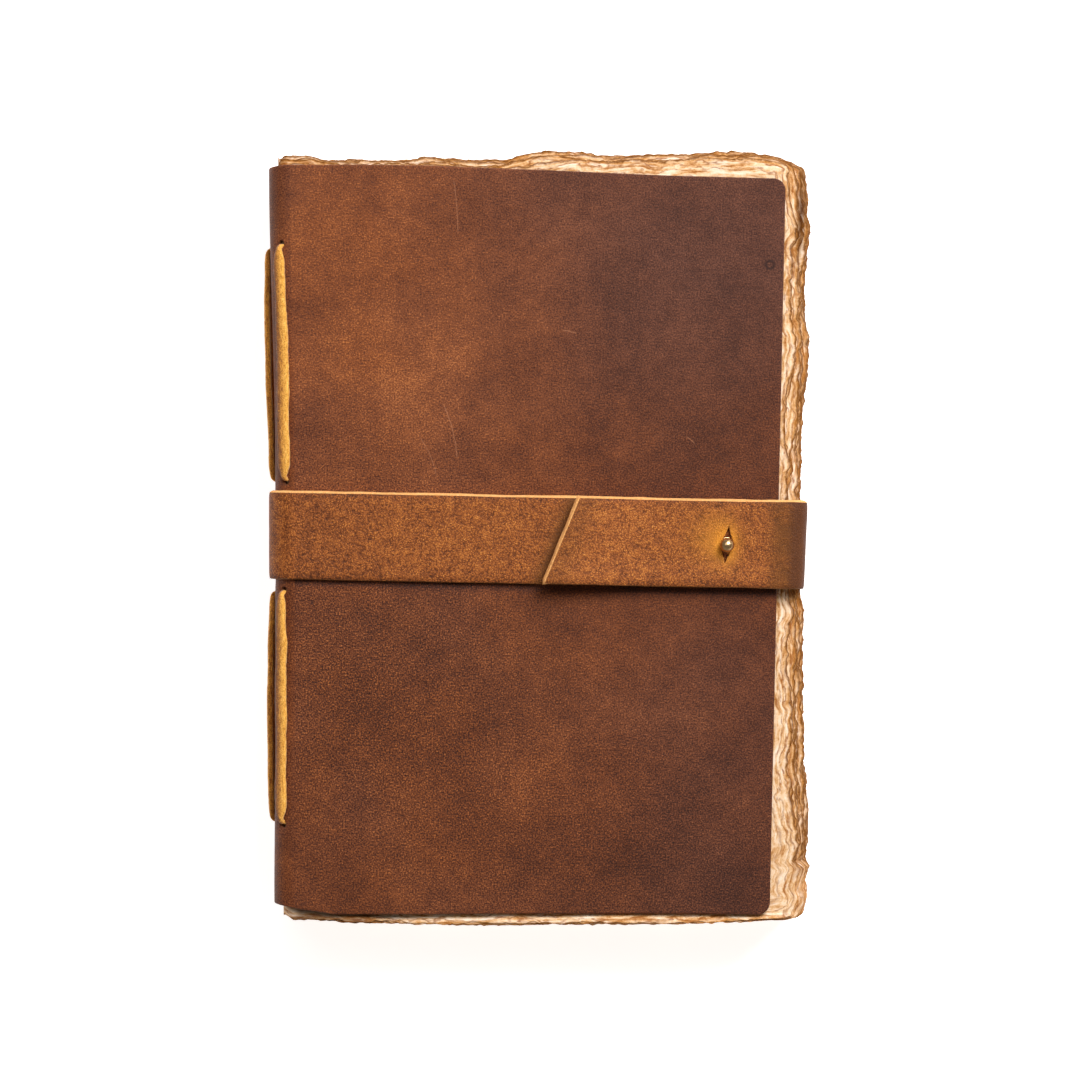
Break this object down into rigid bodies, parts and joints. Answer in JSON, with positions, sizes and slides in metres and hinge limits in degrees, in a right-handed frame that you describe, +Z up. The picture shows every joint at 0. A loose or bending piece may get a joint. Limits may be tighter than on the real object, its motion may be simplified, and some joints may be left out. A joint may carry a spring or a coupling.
{
  "type": "leather journal",
  "caption": "Hand-bound leather journal with deckle-edged paper, long-stitch lacing over the spine and a wrap strap that buttons on a ball stud.",
  "frame": {"origin": "centre of the closed book's outline, on the surface that it lies on, which the outside of the strap under the back cover touches", "axes": "+Y towards the head of the pages, +X from the spine towards the fore edge, +Z up through the thickness from the back cover to the front cover"},
  "size_m": [0.1788, 0.253, 0.052],
  "materials": {
    "cover_leather": "waxed pull-up leather, chestnut brown, mottled and scuffed, satin",
    "strap_leather": "oiled leather, golden tan, finely pebbled, light raw edges, satin",
    "lace_leather": "flat cut lace, golden yellow, matt and fibrous at its edges",
    "paper": "handmade deckle-edged paper, tea-stained, matt",
    "brass": "aged brass, softly polished"
  },
  "bodies": {
    "back": {"back_cover": "cover_leather", "strap_back": "strap_leather"},
    "section_5": {"spine_panel_5": "cover_leather", "signature_5_outer": "paper", "signature_5_middle": "paper", "signature_5_inner": "paper", "lace_5": "lace_leather", "strap_spine_5": "strap_leather"},
    "section_4": {"spine_panel_4": "cover_leather", "signature_4_outer": "paper", "signature_4_middle": "paper", "signature_4_inner": "paper", "lace_4": "lace_leather", "strap_spine_4": "strap_leather"},
    "section_3": {"spine_panel_3": "cover_leather", "signature_3_outer": "paper", "signature_3_middle": "paper", "signature_3_inner": "paper", "lace_3": "lace_leather", "strap_spine_3": "strap_leather"},
    "section_2": {"spine_panel_2": "cover_leather", "signature_2_outer": "paper", "signature_2_middle": "paper", "signature_2_inner": "paper", "lace_2": "lace_leather", "strap_spine_2": "strap_leather"},
    "section_1": {"spine_panel_1": "cover_leather", "signature_1_outer": "paper", "signature_1_middle": "paper", "signature_1_inner": "paper", "lace_1": "lace_leather", "strap_spine_1": "strap_leather"},
    "front": {"front_cover": "cover_leather", "strap_stud_arm": "strap_leather", "stud_ball": "brass", "stud_screw": "brass"},
    "strap_side": {"strap_fore_edge": "strap_leather"},
    "strap_end": {"strap_flap": "strap_leather"}
  },
  "joints": [
    {"name": "book_opens", "type": "hinge", "parent": "back", "child": "section_5", "pos_m": [-0.0803, 0, 0.0021], "axis": [0, -1, 0], "range_deg": [0, 29.5], "deforming": ["strap_flap"]},
    {"name": "spine_bends_4", "type": "hinge", "parent": "section_5", "child": "section_4", "pos_m": [-0.08721, 0, 0.00795], "axis": [0, -1, 0], "range_deg": [0, 29.5]},
    {"name": "spine_bends_3", "type": "hinge", "parent": "section_4", "child": "section_3", "pos_m": [-0.0873, 0, 0.01778], "axis": [0, -1, 0], "range_deg": [0, 29.5]},
    {"name": "spine_bends_2", "type": "hinge", "parent": "section_3", "child": "section_2", "pos_m": [-0.0873, 0, 0.02762], "axis": [0, -1, 0], "range_deg": [0, 29.5]},
    {"name": "spine_bends_1", "type": "hinge", "parent": "section_2", "child": "section_1", "pos_m": [-0.08721, 0, 0.03745], "axis": [0, -1, 0], "range_deg": [0, 29.5]},
    {"name": "front_cover_bends", "type": "hinge", "parent": "section_1", "child": "front", "pos_m": [-0.0803, 0, 0.0433], "axis": [0, -1, 0], "range_deg": [0, 29.5]},
    {"name": "strap_folds_at_back", "type": "hinge", "parent": "back", "child": "strap_side", "pos_m": [0.08794, 0, 0.00146], "axis": [0, 1, 0], "range_deg": [0, 90]},
    {"name": "strap_flap_lifts", "type": "hinge", "parent": "strap_side", "child": "strap_end", "pos_m": [0.08794, 0, 0.04604], "axis": [0, 1, 0], "range_deg": [0, 90]}
  ],
  "couplings": [
    {"joint": "spine_bends_4", "follows": "book_opens", "ratio": 1},
    {"joint": "spine_bends_3", "follows": "book_opens", "ratio": 1},
    {"joint": "spine_bends_2", "follows": "book_opens", "ratio": 1},
    {"joint": "spine_bends_1", "follows": "book_opens", "ratio": 1},
    {"joint": "front_cover_bends", "follows": "book_opens", "ratio": 1}
  ]
}
